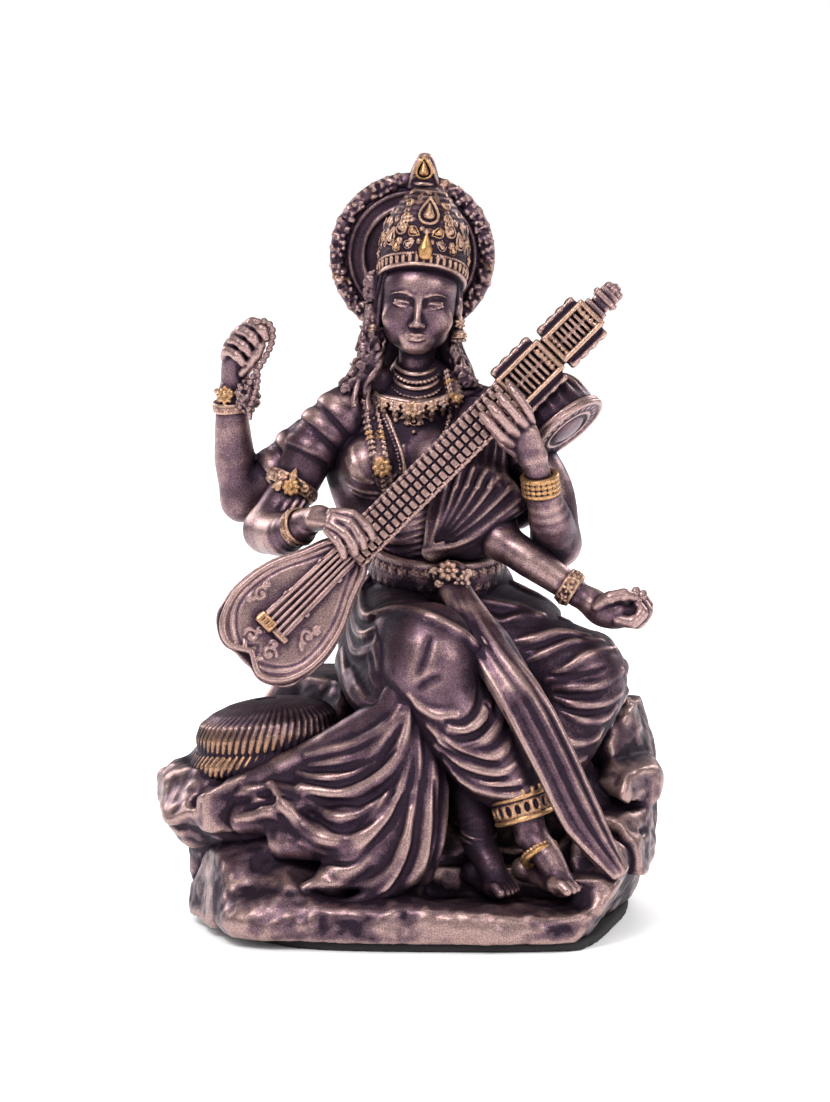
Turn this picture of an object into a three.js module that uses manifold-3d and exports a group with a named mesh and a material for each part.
// A seated four-armed goddess playing a veena, a cold-cast bronze figurine of about 90 mm.
// Units are millimetres. +Z is up, the figure faces -Y, and the origin is the centre of the
// felt pad's resting face. "Right" and "left" are the figure's own.
import * as THREE from "three";
import { mergeVertices } from "three/addons/utils/BufferGeometryUtils.js";
import Module from "manifold-3d";

const wasm = await Module();
wasm.setup();

// ---------------------------------------------------------------- driving dimensions
const GLUE_GAP = 0.36; // clearance left between two pieces that are bonded together
const SMOOTHING = 0.16; // facets flatter than this are merged
const FELT_THICKNESS = 1.1;
const PLINTH_TOP = 5; // height of the rock ledge that the feet stand on
const HALO_RADIUS = 9.6;
const HALO_LOBES = 17;
const FRET_COUNT = 8;
const CUSHION_RIBS = 14;

// Landmarks of the figure, as x, y, z.
const at = {
  chest: [-0.8, 1.8, 54.5],
  waist: [2, 2.4, 44],
  hips: [3.2, 4, 34.5],
  neckBase: [0.2, 2, 61.5],
  head: [0.4, 0.1, 71.6],
  crownBand: [0.7, 0.6, 74.6],
  crownTip: [1.5, 2.2, 85.6],
  haloCentre: [-0.3, 6.6, 77.2],
  rightShoulder: [-7.6, 2.2, 58.6],
  leftShoulder: [7, 2.6, 58.8],
  raisedElbow: [-19.4, 5, 47],
  raisedForearm: [-21.2, 4.4, 53.4],
  raisedWrist: [-21.3, 3.2, 60.2],
  playingElbow: [-16.8, -2.4, 45.6],
  playingForearm: [-14.8, -6.6, 45.8],
  playingWrist: [-12.6, -10, 47.2],
  frettingElbow: [16.6, -1.6, 44.9],
  frettingForearm: [16, -5.6, 48],
  frettingWrist: [14.4, -8.2, 51.9],
  offeringElbow: [9.6, -3.6, 45.2],
  offeringForearm: [13.4, -5.4, 42.6],
  offeringWrist: [18.2, -6.4, 39.8],
  rightKnee: [1.4, -12.2, 32.6],
  rightAnkle: [12.6, -14.8, 14.6],
  leftKnee: [19.4, -4.6, 29],
  leftAnkle: [7.6, -12.6, 11.4],
  gather: [-1.6, -13.4, 28.6],
};

// The veena's own axes: a runs up the neck, b across it, c out of the soundboard.
const veena = {
  origin: vec([-15.2, -14.4, 37]),
  a: vec([0.704, 0.187, 0.684]),
  b: vec([-0.706, 0.11, 0.697]),
  c: vec([0.055, -0.975, 0.21]),
  bowlFoot: -6.3,
  bowlHalfWidth: 6.4,
  bowlDepth: 6,
  boardThickness: 0.9,
  neckStart: 10.8,
  neckHalfWidth: 2.1,
  neckThickness: 2,
  pegboxStart: 36.6,
  pegboxEnd: 50.6,
};

const BRONZE = { color: 0x6b4a3c, roughness: 0.42, metalness: 0.75 };
const DARK_BRONZE = { color: 0x3a2b2e, roughness: 0.5, metalness: 0.6 };
const GILT = { color: 0xb8813f, roughness: 0.35, metalness: 0.85 };
const FELT = { color: 0x1c191c, roughness: 0.95, metalness: 0 };

// ---------------------------------------------------------------- solids
function vec(point) {
  return point instanceof THREE.Vector3 ? point : new THREE.Vector3(...point);
}

// How far every surface is pushed out while a cutter is being made, and 0 for the piece itself.
let swell = 0;

function solidOf(geometry) {
  const bare = geometry.index ? geometry : mergeVertices(geometry);
  bare.deleteAttribute("normal");
  bare.deleteAttribute("uv");
  const merged = mergeVertices(bare, 1e-3);
  merged.computeVertexNormals();
  const points = merged.attributes.position;
  const normals = merged.attributes.normal;
  const moved = new Float32Array(points.count * 3);
  for (let i = 0; i < points.count; i++) {
    const point = new THREE.Vector3().fromBufferAttribute(points, i);
    const normal = new THREE.Vector3().fromBufferAttribute(normals, i);
    point.addScaledVector(normal, swell).toArray(moved, 3 * i);
  }
  const triVerts = new Uint32Array(merged.index.array);
  return new wasm.Manifold(
    new wasm.Mesh({ numProp: 3, vertProperties: moved, triVerts }),
  );
}

function join(...solids) {
  return solids.flat().reduce((sum, solid) => sum.add(solid));
}

function lerp(a, b, t) {
  return a + (b - a) * t;
}

// Takes values at evenly spaced stations and reads them at t, from 0 to 1.
function sample(values, t) {
  const place = t * (values.length - 1);
  const i = Math.min(Math.floor(place), values.length - 2);
  const share = place - i;
  const pair = (v) => (Array.isArray(v) ? v : [v, v]);
  return [0, 1].map((k) => lerp(pair(values[i])[k], pair(values[i + 1])[k], share));
}

// A round-ended limb along a smooth curve. A radius is a number, or [across, along up].
function limb(points, radii, options = {}) {
  const { sides = 8, steps = 2 * (points.length - 1), up = [0, 0, 1], capRings = 2 } = options;
  const curve = new THREE.CatmullRomCurve3(points.map(vec), false, "centripetal");
  const rings = [];
  for (let i = 0; i < capRings; i++)
    rings.push({ t: 0, turn: (i / capRings) * (Math.PI / 2), end: -1 });
  for (let i = 0; i <= steps; i++) rings.push({ t: i / steps, turn: Math.PI / 2, end: 0 });
  for (let i = capRings - 1; i >= 0; i--)
    rings.push({ t: 1, turn: (i / capRings) * (Math.PI / 2), end: 1 });
  const geometry = new THREE.CylinderGeometry(1, 1, 1, sides, rings.length - 1);
  const place = geometry.attributes.position;
  for (let i = 0; i < place.count; i++) {
    const ring = rings[Math.round((0.5 - place.getY(i)) * (rings.length - 1))];
    const tangent = curve.getTangent(Math.min(Math.max(ring.t, 1e-3), 1 - 1e-3));
    const side = new THREE.Vector3().crossVectors(tangent, vec(up)).normalize();
    const other = new THREE.Vector3().crossVectors(tangent, side);
    const [across, along] = sample(radii, ring.t);
    const round = Math.sin(ring.turn);
    const point = curve
      .getPoint(ring.t)
      .addScaledVector(tangent, ring.end * Math.cos(ring.turn) * Math.min(across, along))
      .addScaledVector(side, place.getX(i) * across * round)
      .addScaledVector(other, place.getZ(i) * along * round);
    place.setXYZ(i, point.x, point.y, point.z);
  }
  return solidOf(geometry);
}

function blob(centre, radii, turn = [0, 0, 0], detail = [10, 7]) {
  const geometry = new THREE.SphereGeometry(1, ...detail);
  const radius = Array.isArray(radii) ? radii : [radii, radii, radii];
  geometry.scale(...radius);
  geometry.applyMatrix4(
    new THREE.Matrix4().makeRotationFromEuler(new THREE.Euler(...turn.map(THREE.MathUtils.degToRad))),
  );
  geometry.translate(...vec(centre));
  return solidOf(geometry);
}

// A boulder: a faceted ball whose corners are moved in and out by a fixed rule.
function boulder(centre, radii, seed, rough = 0.13) {
  const geometry = mergeVertices(new THREE.IcosahedronGeometry(1, 2), 1e-3);
  const place = geometry.attributes.position;
  for (let i = 0; i < place.count; i++) {
    const p = new THREE.Vector3().fromBufferAttribute(place, i);
    const wave = Math.sin(5.1 * p.x + seed) + Math.sin(4.3 * p.y + 2 * seed) + Math.sin(6.7 * p.z - seed);
    // Raising the corners of the ball squares it off, as split rock is.
    const square = 1 / Math.pow(p.x ** 4 + p.y ** 4 + p.z ** 4, 0.25);
    p.multiplyScalar(lerp(1, square, 0.55) * (1 + (rough / 3) * wave));
    place.setXYZ(i, centre[0] + p.x * radii[0], centre[1] + p.y * radii[1], centre[2] + p.z * radii[2]);
  }
  return solidOf(geometry);
}

// A slab of a smooth closed outline in x, y, between two heights.
function slab(outline, low, high, scaleTop = 1) {
  const curve = new THREE.CatmullRomCurve3(outline.map(([x, y]) => new THREE.Vector3(x, y, 0)), true);
  const shape = new THREE.Shape(curve.getPoints(40).slice(0, 40).map((p) => new THREE.Vector2(p.x, p.y)));
  const geometry = new THREE.ExtrudeGeometry(shape, { depth: high - low, bevelEnabled: false });
  const place = geometry.attributes.position;
  for (let i = 0; i < place.count; i++) {
    const k = place.getZ(i) > (high - low) / 2 ? scaleTop : 1;
    place.setXYZ(i, place.getX(i) * k, place.getY(i) * k, place.getZ(i) + low);
  }
  return solidOf(geometry);
}

// Moves a solid modelled about the origin, with its axis along z, to a place and direction.
function aim(geometry, centre, direction) {
  const turn = new THREE.Quaternion().setFromUnitVectors(
    new THREE.Vector3(0, 0, 1),
    vec(direction).clone().normalize(),
  );
  geometry.applyQuaternion(turn);
  geometry.translate(...vec(centre));
  return geometry;
}

// A ring of round or flattened section round an axis.
function ring(centre, direction, radius, section, options = {}) {
  const { sides = 14, lobes = 0, swing = 0 } = options;
  const [wide, tall] = Array.isArray(section) ? section : [section, section];
  const geometry = new THREE.TorusGeometry(radius, 1, 5, sides);
  const place = geometry.attributes.position;
  for (let i = 0; i < place.count; i++) {
    const angle = Math.atan2(place.getY(i), place.getX(i));
    const out = Math.hypot(place.getX(i), place.getY(i)) - radius;
    const beat = 1 + swing * Math.cos(lobes * angle);
    const r = radius + out * wide * beat;
    place.setXYZ(i, r * Math.cos(angle), r * Math.sin(angle), place.getZ(i) * tall * beat);
  }
  return solidOf(aim(geometry, centre, direction));
}

function turned(profile, centre, direction, sides = 18) {
  const geometry = new THREE.LatheGeometry(
    profile.map(([r, h]) => new THREE.Vector2(r, h)),
    sides,
  );
  geometry.rotateX(Math.PI / 2);
  return solidOf(aim(geometry, centre, direction));
}

// ---------------------------------------------------------------- the veena's frame
function onVeena(a, b, c) {
  return veena.origin
    .clone()
    .addScaledVector(veena.a, a)
    .addScaledVector(veena.b, b)
    .addScaledVector(veena.c, c);
}

function veenaSlab(points, low, high, curveSegments = 6) {
  const shape = new THREE.Shape();
  shape.moveTo(...points[0]);
  shape.splineThru(points.slice(1).map((p) => new THREE.Vector2(...p)));
  const geometry = new THREE.ExtrudeGeometry(shape, {
    depth: high - low,
    bevelEnabled: false,
    curveSegments,
  });
  return veenaPlaced(geometry.translate(0, 0, low));
}

function veenaBox(a0, a1, b0, b1, c0, c1) {
  const geometry = new THREE.BoxGeometry(a1 - a0, b1 - b0, c1 - c0);
  return veenaPlaced(geometry.translate((a0 + a1) / 2, (b0 + b1) / 2, (c0 + c1) / 2));
}

function veenaPlaced(geometry) {
  const basis = new THREE.Matrix4().makeBasis(veena.a, veena.b, veena.c);
  return solidOf(geometry.applyMatrix4(basis.setPosition(veena.origin)));
}

// The pear outline of the soundboard, with two lobes and a notch at the foot.
function boardOutline(inset = 0) {
  const w = veena.bowlHalfWidth - inset;
  const foot = veena.bowlFoot + inset;
  const half = [
    [foot + 1.2, 0],
    [foot, 0.46 * w],
    [foot + 1.6, 0.83 * w],
    [-0.9, w],
    [3.4, 0.92 * w],
    [7.2, 0.65 * w],
    [11.4 - inset, 0.35 * w],
  ];
  return [...half, ...half.slice(1).reverse().map(([a, b]) => [a, -b])];
}

// ---------------------------------------------------------------- the base
const padOutline = [
  [-24, 1], [-22, -10], [-13.5, -19.5], [0, -21.8], [16.4, -21.6], [20.4, -18.4],
  [23.4, -8], [25.4, 2], [25, 10], [19, 18.6], [4, 21.6], [-12, 20.4], [-21, 13],
];

function feltPad() {
  return slab(padOutline, 0, FELT_THICKNESS);
}

function rockPlinth() {
  return join(
    slab(padOutline.map(([x, y]) => [1.03 * x, 1.03 * y]), FELT_THICKNESS + GLUE_GAP, PLINTH_TOP, 0.98),
    boulder([-16.5, -2, 6.4], [10.2, 14, 4.8], 1.3),
    boulder([0, 8, 9], [22, 12, 6], 2.6),
    boulder([20, -1, 6.4], [7, 15, 4.6], 3.4),
  );
}

function seatRock() {
  return boulder([2.4, 6.6, 17.8], [22.6, 12.4, 7.4], 0.7);
}

function leftBoulder() {
  return boulder([-23.2, 0.4, 14.2], [6.4, 10, 4.4], 5.2, 0.2);
}

function rightLedges() {
  return join(
    boulder([23, -0.6, 12.2], [5.8, 10.4, 4.2], 2.9, 0.2),
    boulder([24, 1, 19.2], [5.4, 9.6, 4], 4.4, 0.2),
  );
}

function seatCushion() {
  const rims = [];
  for (const [height, radius] of [[19.6, 9.4], [23.2, 8.7]]) {
    const geometry = new THREE.SphereGeometry(1, 2 * CUSHION_RIBS, 6);
    const place = geometry.attributes.position;
    for (let i = 0; i < place.count; i++) {
      const angle = Math.atan2(place.getY(i), place.getX(i));
      const rib = 1 + 0.03 * Math.cos(CUSHION_RIBS * angle);
      place.setXYZ(i, place.getX(i) * radius * rib, place.getY(i) * 7.4 * rib, place.getZ(i) * 2.6);
    }
    geometry.rotateY(THREE.MathUtils.degToRad(-5));
    rims.push(solidOf(geometry.translate(-17.4, -3.4, height)));
  }
  return join(...rims);
}

// ---------------------------------------------------------------- the seated figure
function torso() {
  return join(
    limb([at.hips, at.waist, at.chest, at.neckBase], [[9, 7], [5.4, 4.1], [7.2, 4.9], [3.4, 2.8]], {
      up: [0, 1, 0],
      sides: 12,
      steps: 6,
    }),
    blob([-5.4, -2.2, 53.6], [3.9, 3.7, 3.9]),
    blob([3, -2.4, 53.8], [3.9, 3.7, 3.9]),
    limb([at.rightShoulder, at.chest.map((v, i) => v + [0, 0.4, 3.4][i]), at.leftShoulder], [3, 3.6, 3]),
  );
}

function head() {
  return join(
    limb([[0.2, 2.4, 63], [0.3, 1.5, 67.4]], [2.2, 2.1]),
    blob(at.head, [3.9, 4.5, 5.4], [-4, 3, 0], [18, 12]),
  );
}

function hair() {
  return join(
    blob([0.4, 3, 72.4], [5.3, 4.2, 6.6]),
    limb([[-4, 3.6, 72], [-6.6, 3.2, 65], [-6.8, -1, 57]], [2, 2.4, 1.3], { sides: 6 }),
    limb([[4.4, 3.6, 70], [5, 3.2, 65.4], [6.2, 2.4, 61.6]], [1.8, 1.9, 1.6], { sides: 6, steps: 2 }),
    limb([[0.4, 5.4, 70], [0.6, 7.2, 57], [2, 7, 43]], [[4.4, 2.4], [5.6, 2], [2, 1.2]], {
      up: [0, 1, 0],
      sides: 6,
    }),
  );
}

function crown() {
  const direction = vec(at.crownTip).sub(vec(at.crownBand));
  const tall = direction.length();
  return turned(
    [[0, -0.6], [5.2, -0.6], [5.5, 1.2], [5.3, 4.6], [4.4, 7.6], [2.6, 10], [1.1, tall - 0.3], [0, tall]],
    at.crownBand,
    direction,
  );
}

function haloDisc() {
  return turned(
    [[0, -0.8], [HALO_RADIUS - 2.1, -0.8], [HALO_RADIUS - 2.1, 0.5], [6.2, 0.5], [5.8, 0], [0, 0]],
    at.haloCentre,
    [0, -1, 0.05],
    30,
  );
}

function haloRim() {
  return ring(at.haloCentre, [0, -1, 0.05], HALO_RADIUS - 0.8, [0.75, 1.1], {
    sides: 2 * HALO_LOBES,
    lobes: HALO_LOBES,
    swing: 0.16,
  });
}

function haloCrest() {
  const [x, y, z] = at.haloCentre;
  return turned(
    [[0, -2], [1.5, -1.6], [1.6, 0], [1.35, 1.6], [0.7, 2.6], [0, 3]],
    [x + 1.4, y, z + HALO_RADIUS - 0.6],
    [0.06, 0, 1],
    14,
  );
}

function earring(side) {
  return blob([0.4 + side * 4.5, 0.6, 67.6], [0.8, 0.8, 1.5]);
}

// ---------------------------------------------------------------- jewellery and cloth on the torso
function neckRings() {
  return ring([0.2, 0.6, 62.6], [0, -0.55, 1], 3.6, [0.55, 1], { sides: 16 });
}

function collarNecklace() {
  const drop = (turn) => 0.9 + 2.6 * Math.max(0, Math.cos(turn));
  const points = [-80, -50, -20, 0, 20, 50, 80].map((deg) => {
    const turn = THREE.MathUtils.degToRad(deg);
    return [0.1 + 5.4 * Math.sin(turn), 2.2 - 6.9 * Math.cos(turn), 61.4 - drop(turn)];
  });
  const half = [[0.7, 0.8], [0.8, 1.3], [0.9, 1.8]];
  return limb(points, [...half, [1, 2.1], ...half.toReversed()], { sides: 8 });
}

function longGarland() {
  return limb(
    [[-4, 0.6, 62.4], [-5.4, -3.8, 58.6], [-5, -6.4, 55], [-4, -6.8, 51], [-3.4, -4.8, 46.6]],
    [[1, 0.6], [1.2, 0.6], [1.1, 0.6], [1.3, 0.7], [1.2, 0.7]],
    { up: [0, 1, 0], sides: 8 },
  );
}

function shortGarland() {
  return limb(
    [[4.4, 0.8, 62.2], [5, -3.4, 58.8], [5, -6.3, 55.6]],
    [[0.7, 0.5], [0.8, 0.5], [0.8, 0.5]],
    { up: [0, 1, 0], sides: 8 },
  );
}

function shoulderCloth() {
  return limb(
    [[2.4, -4, 42.6], [5.4, -5, 47], [8.4, -4.6, 51.6], [8.6, -1.4, 57.6]],
    [[1.4, 1], [3.2, 1.2], [4.2, 1.3], [2.6, 1.4]],
    { up: [0, 1, 0] },
  );
}

function waistBelt() {
  return ring([2.6, 2.8, 40.6], [0.04, -0.14, 1], 7.4, [0.9, 1.6], { sides: 22 });
}

function beltClasp() {
  return blob([3, -5.9, 40], [2, 0.8, 1.6]);
}

// ---------------------------------------------------------------- arms
function upperArm(from, to, radii) {
  const middle = vec(from).lerp(vec(to), 0.5).add(vec([0, 0.4, 0.2]));
  return limb([from, middle, to], radii);
}

// One of the four forearms, through its elbow, middle and wrist.
function forearm(which, radii) {
  return limb([at[`${which}Elbow`], at[`${which}Forearm`], at[`${which}Wrist`]], radii);
}

function raisedHand() {
  return join(
    limb([[-21.2, 2.9, 61.6], [-20.9, 2.4, 64.4], [-20.2, 2, 66.8]], [[1.7, 1.3], [2.3, 1.5], [2, 1.3]], {
      up: [0, 1, 0],
    }),
    limb([[-20.4, 2, 66.6], [-19.2, 0.8, 68.4], [-17.8, 0, 67.9]], [1.3, 1.1, 0.8]),
    limb([[-20.6, 1.6, 65], [-19, 0.2, 66.4], [-17.8, 0, 66.2]], [1.1, 1, 0.7]),
  );
}

function prayerBeads() {
  return limb(
    [[-17.9, -0.9, 69.2], [-16.8, -1, 67.6], [-17.4, -1, 64.4], [-18.7, -0.8, 61.8], [-19, -0.6, 59.8]],
    [0.9, 1.1, 1, 1.5, 1.9],
  );
}

function playingHand() {
  return join(
    limb([[-11.6, -11, 47.6], [-9.6, -13.2, 48], [-7.9, -14.6, 47.2]], [[1.7, 1.5], [2.5, 1.5], [2.3, 1.2]], {
      up: [0, -0.6, 1],
    }),
    limb(
      [[-7.8, -14.6, 47.8], [-5.4, -14.6, 46], [-4.6, -13.9, 44.6]],
      [[1.9, 0.9], [1.8, 0.8], [1.4, 0.7]],
      { up: [0, -1, 0.4] },
    ),
  );
}

function frettingHand() {
  return join(
    limb([[14, -8.7, 53.8], [13, -9.2, 56.6], [11.8, -9.8, 58.6]], [[1.7, 1.5], [2.4, 1.3], [2.3, 1.1]], {
      up: [0, 1, 0],
    }),
    limb([[11.8, -10.3, 58.6], [10, -11.2, 60], [8.6, -10.9, 61]], [[1.9, 0.9], [1.8, 0.8], [1.3, 0.7]], {
      up: [-0.5, 1, 0.6],
    }),
  );
}

function offeringHand() {
  return join(
    limb([[19.8, -6.7, 38.8], [21.6, -7, 38], [23.6, -7.2, 37.6]], [[1.9, 1.3], [2.5, 1.4], [2.5, 1.3]]),
    limb([[23.6, -7.2, 37.5], [25.8, -7.3, 37.4], [26.9, -7.3, 38]], [[2.4, 1.1], [2.2, 1], [1.6, 0.8]]),
  );
}

function bangle(wrist, toward, radius, section) {
  return ring(wrist, vec(toward).clone().sub(vec(wrist)), radius, section, { sides: 14 });
}

function sleeveCuff(from, to, share, radius) {
  const centre = vec(from).lerp(vec(to), share);
  return ring(centre, vec(to).sub(vec(from)), radius, [0.8, 1.3], { sides: 14 });
}

// ---------------------------------------------------------------- legs and skirts
function lapDrape() {
  return join(
    blob(at.hips, [11, 8.4, 7]),
    limb([[-2.4, 1, 33], [-1.6, -5, 33], [-0.4, -9, 31.4]], [6, 5.6, 5.2]),
    limb([[7, 2.4, 32.6], [13, -1, 31.6]], [6.6, 6.2]),
  );
}

function rightKnee() {
  return join(
    blob(at.rightKnee, [6, 5.2, 6.2]),
    limb([[1.6, -11.8, 30], [5, -13, 24.6], [9.4, -13.6, 19.4], [11.6, -14, 17.2]], [5, 5.2, 4.4, 3.4]),
  );
}

function leftKnee() {
  return join(
    limb([[12, -1.6, 31], at.leftKnee], [6.2, 5.6]),
    limb([[19, -5.4, 27], [16.4, -7.6, 21.4], [13, -9, 16.6]], [5, 4.4, 3.2]),
  );
}

function foot(ankle, ball, toe, width) {
  return join(
    limb(
      [ankle, vec(ankle).lerp(vec(ball), 0.45), ball, toe],
      [1.9, [1.9, 1.8], [width, 1.3], [width * 0.8, 0.8]],
    ),
    blob([ankle[0] - 0.7, ankle[1] + 1.4, ankle[2] - 3.2], [1.6, 1.9, 1.7]),
  );
}

function rightFoot() {
  return foot([13.4, -15, 12.2], [17, -18.4, 7.4], [19, -20.2, 6], 2.5);
}

function leftFoot() {
  return foot([7.4, -13, 11], [9.8, -16.8, 6.8], [11.2, -19, 5.9], 2.1);
}

// Folds that run from the gather below the knee to the ground, as one fanned sheet.
function fanDrape() {
  const start = at.gather;
  const folds = [
    [[-9, -12, 22.6], [-17, -11, 17.8], [-21.6, -10.4, 15.6]],
    [[-7, -13.6, 20], [-14.6, -14, 13.6], [-19.6, -12.8, 14.6]],
    [[-4.8, -14.6, 17.6], [-9.6, -16, 10.6], [-14.6, -15.4, 9.4]],
    [[-2.6, -15, 19], [-4.4, -17, 11], [-9, -18.6, 7]],
    [[-0.6, -15, 19.6], [-0.6, -17, 11.6], [-2.6, -18.4, 7]],
  ];
  return join(folds.map((fold) => limb([start, ...fold], [1.4, 2.3, 2.7, 2.1], { sides: 6, steps: 4 })));
}

function frontSash() {
  return limb(
    [[3.4, -9.6, 38.6], [8.4, -13.4, 32.6], [13.4, -15.4, 25], [18.4, -17, 16], [23, -17.6, 8.4]],
    [[1.6, 0.9], [2.2, 1.1], [2.4, 1.1], [2.1, 1], [0.8, 0.7]],
    { up: [-0.3, 1, 0] },
  );
}

// ---------------------------------------------------------------- the veena
function veenaBowl() {
  const rings = [[0, 1], [0.34, 0.96], [0.66, 0.8], [0.88, 0.55], [1, 0.22]];
  const layers = rings.slice(0, -1).map(([depth, share], i) => {
    const next = rings[i + 1];
    const points = boardOutline(0.1).map(([a, b]) => [1.5 + (a - 1.5) * share, b * share]);
    const top = -veena.boardThickness - depth * veena.bowlDepth;
    const bottom = -veena.boardThickness - next[0] * veena.bowlDepth;
    return veenaSlab(points, bottom, i ? top + 0.2 : top, 2);
  });
  return join(...layers);
}

function veenaBoard() {
  return veenaSlab(boardOutline(), -veena.boardThickness, 0, 4);
}

function veenaBridge() {
  return veenaBox(-3.4, -1.6, -1.5, 1.5, 0, 0.7);
}

function veenaStrings() {
  return veenaBox(-1.4, veena.neckStart - 0.6, -1.3, 1.3, 0.28, 0.62);
}

function veenaNeck() {
  const { neckStart, neckHalfWidth, neckThickness, pegboxStart } = veena;
  return limb(
    [onVeena(neckStart - 1, 0, -1.4), onVeena(24, 0, -1.2), onVeena(pegboxStart - 0.4, 0, -1.2)],
    [[neckHalfWidth, neckThickness], [neckHalfWidth * 0.95, 1.7], [neckHalfWidth * 0.9, 1.6]],
    { up: veena.c, sides: 10, capRings: 1 },
  );
}

function fretBoard() {
  const { neckStart, neckHalfWidth, pegboxStart } = veena;
  const pitch = (pegboxStart - neckStart - 2) / FRET_COUNT;
  const bars = [];
  for (let i = 0; i < FRET_COUNT; i++) {
    const a = neckStart + 1.4 + i * pitch;
    bars.push(veenaBox(a, a + 0.7 * pitch, -neckHalfWidth * 1.04, neckHalfWidth * 1.04, 0.5, 1.5));
  }
  return join(veenaBox(neckStart + 0.6, pegboxStart - 0.6, -neckHalfWidth, neckHalfWidth, 0, 0.9), ...bars);
}

function pegbox(from, to, half) {
  const frame = veenaBox(from, to, -half, half, -2, 1.1);
  const well = veenaBox(from + 0.9, to - 0.9, -half + 0.8, half - 0.8, 0.2, 2);
  const ribs = [];
  const count = Math.round((to - from - 1.8) / 1.6);
  for (let i = 0; i < count; i++) {
    const a = from + 0.9 + (i + 0.5) * ((to - from - 1.8) / count);
    ribs.push(veenaBox(a - 0.25, a + 0.25, -half + 0.4, half - 0.4, 0, 0.9));
  }
  return swell ? frame : join(frame.subtract(well), ...ribs);
}

function veenaFinial() {
  return turned(
    [[0, 0], [1.7, 0], [1.4, 0.9], [1.6, 1.5], [1.1, 2.4], [0.9, 3], [0.4, 3.6], [0, 3.8]],
    onVeena(veena.pegboxEnd + 0.1, 0, -0.6),
    veena.a,
    14,
  );
}

function upperGourd() {
  const [centre, direction] = gourdPlace();
  return turned([[0, -4.6], [2, -4.1], [3.6, -2.6], [4.3, -0.5], [4.4, 0], [0, 0]], centre, direction);
}

function gourdRim() {
  const [centre, direction] = gourdPlace();
  const profile = [[0, 0], [5, 0], [5.1, 0.5], [4.7, 0.9], [0, 0.9]];
  return turned(profile, centre.addScaledVector(direction, GLUE_GAP), direction, 28);
}

function gourdPlace() {
  return [vec([17, -3.2, 58.6]), vec([0.52, -0.32, -0.62]).normalize()];
}

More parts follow.
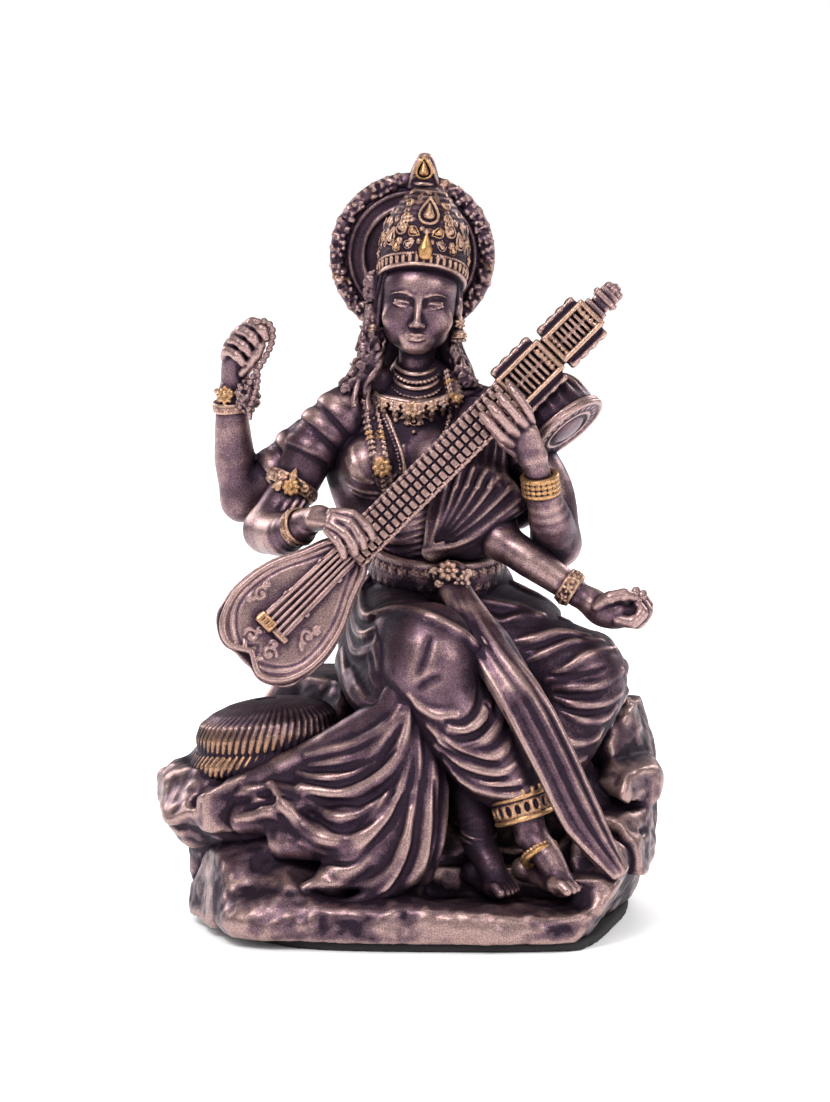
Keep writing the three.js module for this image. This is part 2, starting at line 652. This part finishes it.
// ---------------------------------------------------------------- assembly
// Earlier pieces keep their shape, and later pieces are cut back from them by the glue gap.
const pieces = [
  ["felt_pad", FELT, feltPad],
  ["veena_soundboard", BRONZE, veenaBoard],
  ["veena_bridge", GILT, veenaBridge],
  ["veena_strings", DARK_BRONZE, veenaStrings],
  ["veena_pegbox_lower", GILT, () => pegbox(veena.pegboxStart, 43.6, 2.2)],
  ["veena_pegbox_upper", GILT, () => pegbox(43.9, veena.pegboxEnd - 0.2, 1.9)],
  ["veena_finial", BRONZE, veenaFinial],
  ["veena_fretboard", DARK_BRONZE, fretBoard],
  ["veena_neck", DARK_BRONZE, veenaNeck],
  ["veena_bowl", DARK_BRONZE, veenaBowl],
  ["head", BRONZE, head],
  ["crown", GILT, crown],
  ["right_earring", GILT, () => earring(-1)],
  ["left_earring", GILT, () => earring(1)],
  ["halo_disc", DARK_BRONZE, haloDisc],
  ["halo_crest", GILT, haloCrest],
  ["halo_rim", BRONZE, haloRim],
  ["right_playing_hand", BRONZE, playingHand],
  ["left_fretting_hand", BRONZE, frettingHand],
  ["left_offering_hand", BRONZE, offeringHand],
  ["right_raised_hand", BRONZE, raisedHand],
  ["prayer_beads", DARK_BRONZE, prayerBeads],
  ["right_playing_forearm", BRONZE, () => forearm("playing", [3, 2.7, 1.9])],
  ["left_fretting_forearm", BRONZE, () => forearm("fretting", [3, 2.7, 1.9])],
  ["left_offering_forearm", BRONZE, () => forearm("offering", [2.7, 2.5, 1.8])],
  ["right_raised_forearm", BRONZE, () => forearm("raised", [2.9, 2.8, 1.8])],
  ["torso", BRONZE, torso],
  ["right_playing_upper_arm", BRONZE, () => upperArm([-8.2, 0.8, 58.2], at.playingElbow, [3.4, 3.3, 3])],
  ["right_raised_upper_arm", DARK_BRONZE, () => upperArm([-8.4, 4.6, 57.4], at.raisedElbow, [2.8, 2.9, 2.8])],
  ["left_fretting_upper_arm", BRONZE, () => upperArm([7.8, 1.4, 58.4], at.frettingElbow, [3.2, 3.4, 3])],
  ["left_offering_upper_arm", DARK_BRONZE, () => upperArm([7.2, 3, 56.6], at.offeringElbow, [2.8, 2.9, 2.6])],
  ["right_playing_bangle", GILT, () => bangle([-13.3, -9, 46.8], at.playingWrist, 2.3, [0.6, 1.1])],
  ["left_fretting_bangle", GILT, () => bangle([14.7, -7.6, 51.2], at.frettingWrist, 2.4, [0.7, 1.5])],
  ["left_offering_bangle", GILT, () => bangle([17.3, -6.2, 40.4], at.offeringWrist, 2.2, [0.6, 1.1])],
  ["right_raised_bangle", GILT, () => bangle([-21.2, 3.4, 59.4], at.raisedWrist, 2.3, [0.7, 1.5])],
  ["right_armlet", GILT, () => sleeveCuff([-8.2, 0.8, 58.2], at.playingElbow, 0.72, 3.5)],
  ["collar_necklace", GILT, collarNecklace],
  ["neck_rings", GILT, neckRings],
  ["long_garland", GILT, longGarland],
  ["short_garland", GILT, shortGarland],
  ["belt_clasp", GILT, beltClasp],
  ["waist_belt", GILT, waistBelt],
  ["hair", DARK_BRONZE, hair],
  ["upper_gourd", DARK_BRONZE, upperGourd],
  ["gourd_rim", BRONZE, gourdRim],
  ["left_foot", BRONZE, leftFoot],
  ["right_foot", BRONZE, rightFoot],
  ["right_anklet", GILT, () => ring([14.8, -16.4, 10.2], [0.7, -0.7, -1], 2.2, 0.5, { sides: 14 })],
  ["right_ankle_cuff", GILT, () => ring([12.3, -14.3, 15.6], [0.3, -0.1, -1], 3, [0.8, 1.2], { sides: 16 })],
  ["front_sash", BRONZE, frontSash],
  ["right_leg_drape", BRONZE, rightKnee],
  ["left_leg_drape", BRONZE, leftKnee],
  ["fan_drape", BRONZE, fanDrape],
  ["shoulder_cloth", DARK_BRONZE, shoulderCloth],
  ["lap_drape", DARK_BRONZE, lapDrape],
  ["seat_cushion", GILT, seatCushion],
  ["left_boulder", DARK_BRONZE, leftBoulder],
  ["right_ledges", DARK_BRONZE, rightLedges],
  ["seat_rock", DARK_BRONZE, seatRock],
  ["rock_plinth", DARK_BRONZE, rockPlinth],
];

function largest(solid) {
  return solid.decompose().reduce((a, b) => (a.volume() > b.volume() ? a : b));
}

function meshOf(name, solid, look) {
  const { vertProperties, triVerts, numProp } = solid.getMesh();
  const position = new Float32Array((vertProperties.length / numProp) * 3);
  for (let i = 0; i < position.length / 3; i++)
    position.set(vertProperties.subarray(i * numProp, i * numProp + 3), 3 * i);
  const geometry = new THREE.BufferGeometry()
    .setAttribute("position", new THREE.BufferAttribute(position, 3))
    .setIndex(new THREE.BufferAttribute(triVerts, 1));
  const mesh = new THREE.Mesh(geometry, new THREE.MeshStandardMaterial(look));
  mesh.name = name;
  return mesh;
}

const figurine = new THREE.Group();
figurine.name = "figurine";
const cutters = [];
for (const [name, look, build] of pieces) {
  let solid = build();
  for (const cutter of cutters) solid = solid.subtract(cutter);
  figurine.add(meshOf(name, largest(solid.simplify(SMOOTHING)), look));
  swell = GLUE_GAP;
  cutters.push(build().simplify(SMOOTHING / 3));
  swell = 0;
}

export default figurine;
